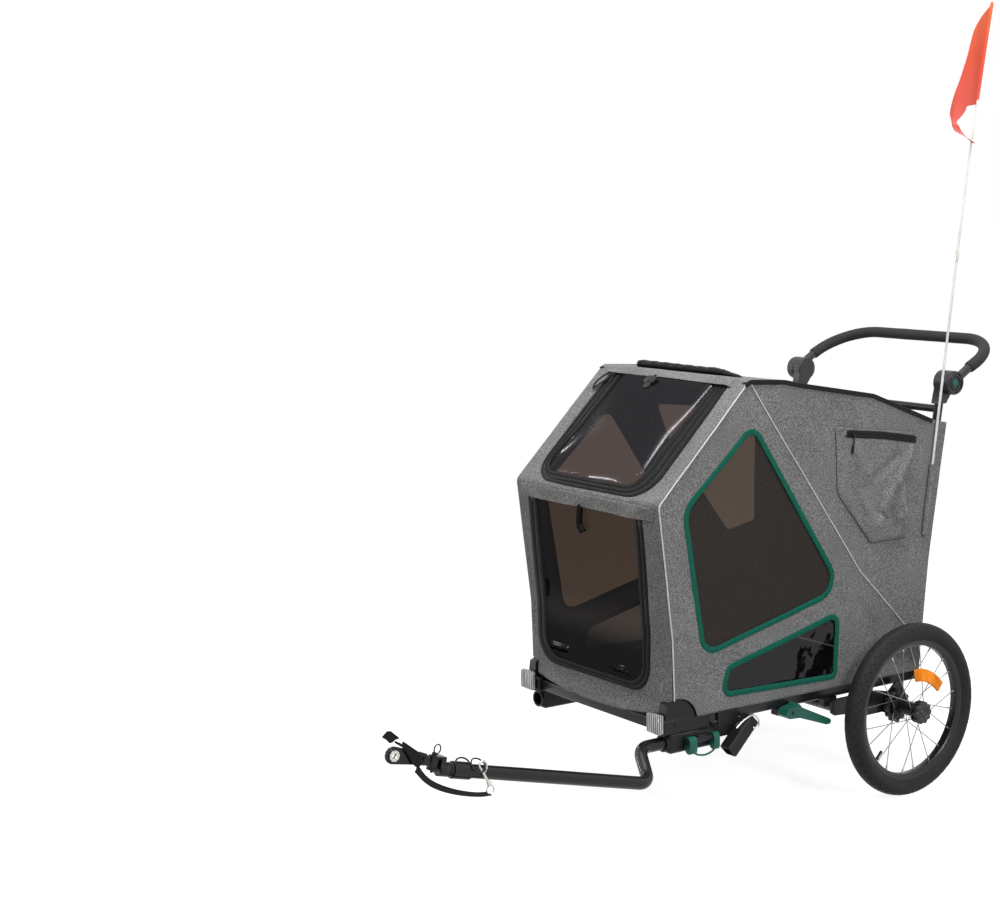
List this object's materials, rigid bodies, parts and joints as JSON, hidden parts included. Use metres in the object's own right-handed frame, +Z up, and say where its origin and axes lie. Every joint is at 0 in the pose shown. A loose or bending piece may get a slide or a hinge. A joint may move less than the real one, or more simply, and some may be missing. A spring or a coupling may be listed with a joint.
{
  "type": "bicycle trailer",
  "caption": "Two-wheeled pet trailer with a fabric cabin, clear front flaps, push handle, side drawbar with a universal hitch and a safety pennant.",
  "frame": {"origin": "on the ground, in the middle of the footprint, without the hanging safety strap", "axes": "+Z up, the drawbar and the front face -Y, the trailer's left side is +X"},
  "size_m": [0.7316, 1.7984, 1.8275],
  "materials": {
    "black_steel": "satin black paint",
    "black_plastic": "matt moulded black",
    "tyre": "black rubber",
    "foam": "soft closed foam",
    "green": "green moulded plastic",
    "fabric": "heather grey woven polyester",
    "mesh": "dark open mesh",
    "film": "smoky clear film with a black edge",
    "binding": "black webbing",
    "bright": "bright plated",
    "spoked": "black rim and hub with bright spokes",
    "amber": "amber reflector",
    "lens": "clear reflector",
    "pennant": "orange nylon",
    "pole": "white glass-fibre rod",
    "mat": "black padded mat"
  },
  "bodies": {
    "chassis": {"base_frame": "black_steel", "front_crossbar": "black_steel", "corner_casting_L": "black_plastic", "corner_casting_R": "black_plastic", "drawbar_receiver_L": "black_plastic", "drawbar_receiver_R": "black_plastic", "front_reflector_L": "lens", "front_reflector_R": "lens", "axle_beam": "black_steel", "floor_tray": "black_plastic", "floor_mat": "mat", "cover_side_L": "fabric", "cover_side_R": "fabric", "side_mesh_L": "mesh", "side_mesh_R": "mesh", "rear_mesh_R": "mesh", "pocket": "fabric", "cover_roof": "fabric", "roof_roll": "binding", "cover_rear": "fabric", "brake_bracket": "black_steel", "accessory_socket": "black_steel"},
    "rear_posts": {"rear_frame": "black_steel", "hinge_housing_L": "black_plastic", "hinge_housing_R": "black_plastic", "pole_sleeve": "fabric"},
    "push_handle": {"handle_bar": "black_steel", "handle_grip": "foam"},
    "handle_button_left": {"hinge_button_L": "green"},
    "handle_button_right": {"hinge_button_R": "green"},
    "hoop": {"front_hoop": "black_steel", "cover_front": "fabric", "cover_slope": "fabric"},
    "front_flap": {"window_lower": "film"},
    "slope_flap": {"window_slope": "film"},
    "back_door": {"rear_door": "fabric"},
    "wheel_left": {"spoked_wheel_L": "spoked", "tyre_L": "tyre", "wheel_reflector_L": "amber"},
    "wheel_right": {"spoked_wheel_R": "spoked", "tyre_R": "tyre", "wheel_reflector_R": "amber"},
    "cap_left": {"axle_cap_L": "black_plastic"},
    "cap_right": {"axle_cap_R": "black_plastic"},
    "pedal": {"brake_pedal": "green"},
    "lock_handle": {"drawbar_lock_handle": "green"},
    "socket_pin": {"socket_lock_pin": "bright"},
    "drawbar": {"drawbar_tube": "black_steel", "drawbar_sleeve": "black_steel", "strap_ring": "black_steel", "snap_hook": "bright", "safety_strap": "binding"},
    "swivel": {"swivel_stem": "black_steel"},
    "knuckle": {"hitch_knuckle": "black_steel"},
    "hitch": {"hitch_plate": "black_steel", "hitch_nut": "bright", "strap_tab": "binding"},
    "hitch_pin": {"hitch_pin": "bright"},
    "pennant": {"flag_pole": "pole", "flag": "pennant"}
  },
  "joints": [
    {"name": "wheel_spin_left", "type": "hinge", "parent": "chassis", "child": "wheel_left", "pos_m": [0.3193, 0.531, 0.203], "axis": [1, 0, 0], "continuous": true},
    {"name": "wheel_spin_right", "type": "hinge", "parent": "chassis", "child": "wheel_right", "pos_m": [-0.3193, 0.531, 0.203], "axis": [1, 0, 0], "continuous": true},
    {"name": "cap_press_left", "type": "slide", "parent": "wheel_left", "child": "cap_left", "axis": [-1, 0, 0], "range_m": [0, 0.003], "stiffness_N_per_m": 400, "springref_m": -0.002},
    {"name": "cap_press_right", "type": "slide", "parent": "wheel_right", "child": "cap_right", "axis": [1, 0, 0], "range_m": [0, 0.003], "stiffness_N_per_m": 400, "springref_m": -0.002},
    {"name": "frame_fold", "type": "hinge", "parent": "chassis", "child": "rear_posts", "pos_m": [0, 0.605, 0.288], "axis": [-1, 0, 0], "range_deg": [-80, 0], "deforming": ["cover_side_L", "cover_side_R", "side_mesh_L", "side_mesh_R", "rear_mesh_R", "pocket", "cover_roof", "roof_roll", "cover_rear", "rear_door"]},
    {"name": "hoop_fold", "type": "hinge", "parent": "chassis", "child": "hoop", "pos_m": [0, -0.109, 0.262], "axis": [-1, 0, 0], "range_deg": [0, 70], "deforming": ["cover_front", "cover_slope"]},
    {"name": "handle_tilt", "type": "hinge", "parent": "rear_posts", "child": "push_handle", "pos_m": [0, 0.7156, 0.9475], "axis": [1, 0, 0], "range_deg": [-60, 50]},
    {"name": "handle_button_press_left", "type": "slide", "parent": "push_handle", "child": "handle_button_left", "axis": [-1, 0, 0], "range_m": [0, 0.003], "stiffness_N_per_m": 400, "springref_m": -0.002},
    {"name": "handle_button_press_right", "type": "slide", "parent": "push_handle", "child": "handle_button_right", "axis": [1, 0, 0], "range_m": [0, 0.003], "stiffness_N_per_m": 400, "springref_m": -0.002},
    {"name": "front_flap_lift", "type": "hinge", "parent": "hoop", "child": "front_flap", "pos_m": [0, -0.18043, 0.705], "axis": [-1, 0, 0], "range_deg": [0, 100]},
    {"name": "slope_flap_lift", "type": "hinge", "parent": "hoop", "child": "slope_flap", "pos_m": [0, 0.05907, 0.98052], "axis": [-1, 0, 0], "range_deg": [0, 100]},
    {"name": "back_door_lift", "type": "hinge", "parent": "chassis", "child": "back_door", "pos_m": [0, 0.70335, 0.8], "axis": [1, 0, 0], "range_deg": [0, 90]},
    {"name": "brake_press", "type": "hinge", "parent": "chassis", "child": "pedal", "pos_m": [0.264, 0.196, 0.238], "axis": [-1, 0, 0], "range_deg": [0, 20]},
    {"name": "lock_handle_turn", "type": "hinge", "parent": "chassis", "child": "lock_handle", "pos_m": [0.2556, -0.0535, 0.2165], "axis": [0, -1, 0], "range_deg": [0, 70]},
    {"name": "socket_pin_pull", "type": "slide", "parent": "chassis", "child": "socket_pin", "axis": [0, -0.7071, 0.7071], "range_m": [0, 0.045]},
    {"name": "drawbar_slide", "type": "slide", "parent": "chassis", "child": "drawbar", "axis": [0, -1, 0], "range_m": [0, 0.075]},
    {"name": "hitch_roll", "type": "hinge", "parent": "drawbar", "child": "swivel", "pos_m": [0.3, -0.73829, 0.28378], "axis": [0, -0.9715, 0.237], "range_deg": [-45, 45]},
    {"name": "hitch_yaw", "type": "hinge", "parent": "swivel", "child": "knuckle", "pos_m": [0.3, -0.77901, 0.30503], "axis": [0, 0.237, 0.9715], "range_deg": [-45, 45], "deforming": ["safety_strap"]},
    {"name": "hitch_pitch", "type": "hinge", "parent": "knuckle", "child": "hitch", "pos_m": [0.3, -0.80638, 0.31943], "axis": [1, 0, 0], "range_deg": [-25, 25]},
    {"name": "hitch_pin_pull", "type": "slide", "parent": "swivel", "child": "hitch_pin", "axis": [0, 0.237, 0.9715], "range_m": [0, 0.034]},
    {"name": "pennant_pull", "type": "slide", "parent": "rear_posts", "child": "pennant", "axis": [0, 0.1249, 0.9922], "range_m": [0, 0.15]}
  ],
  "couplings": [
    {"joint": "hoop_fold", "follows": "frame_fold", "ratio": -0.875}
  ]
}
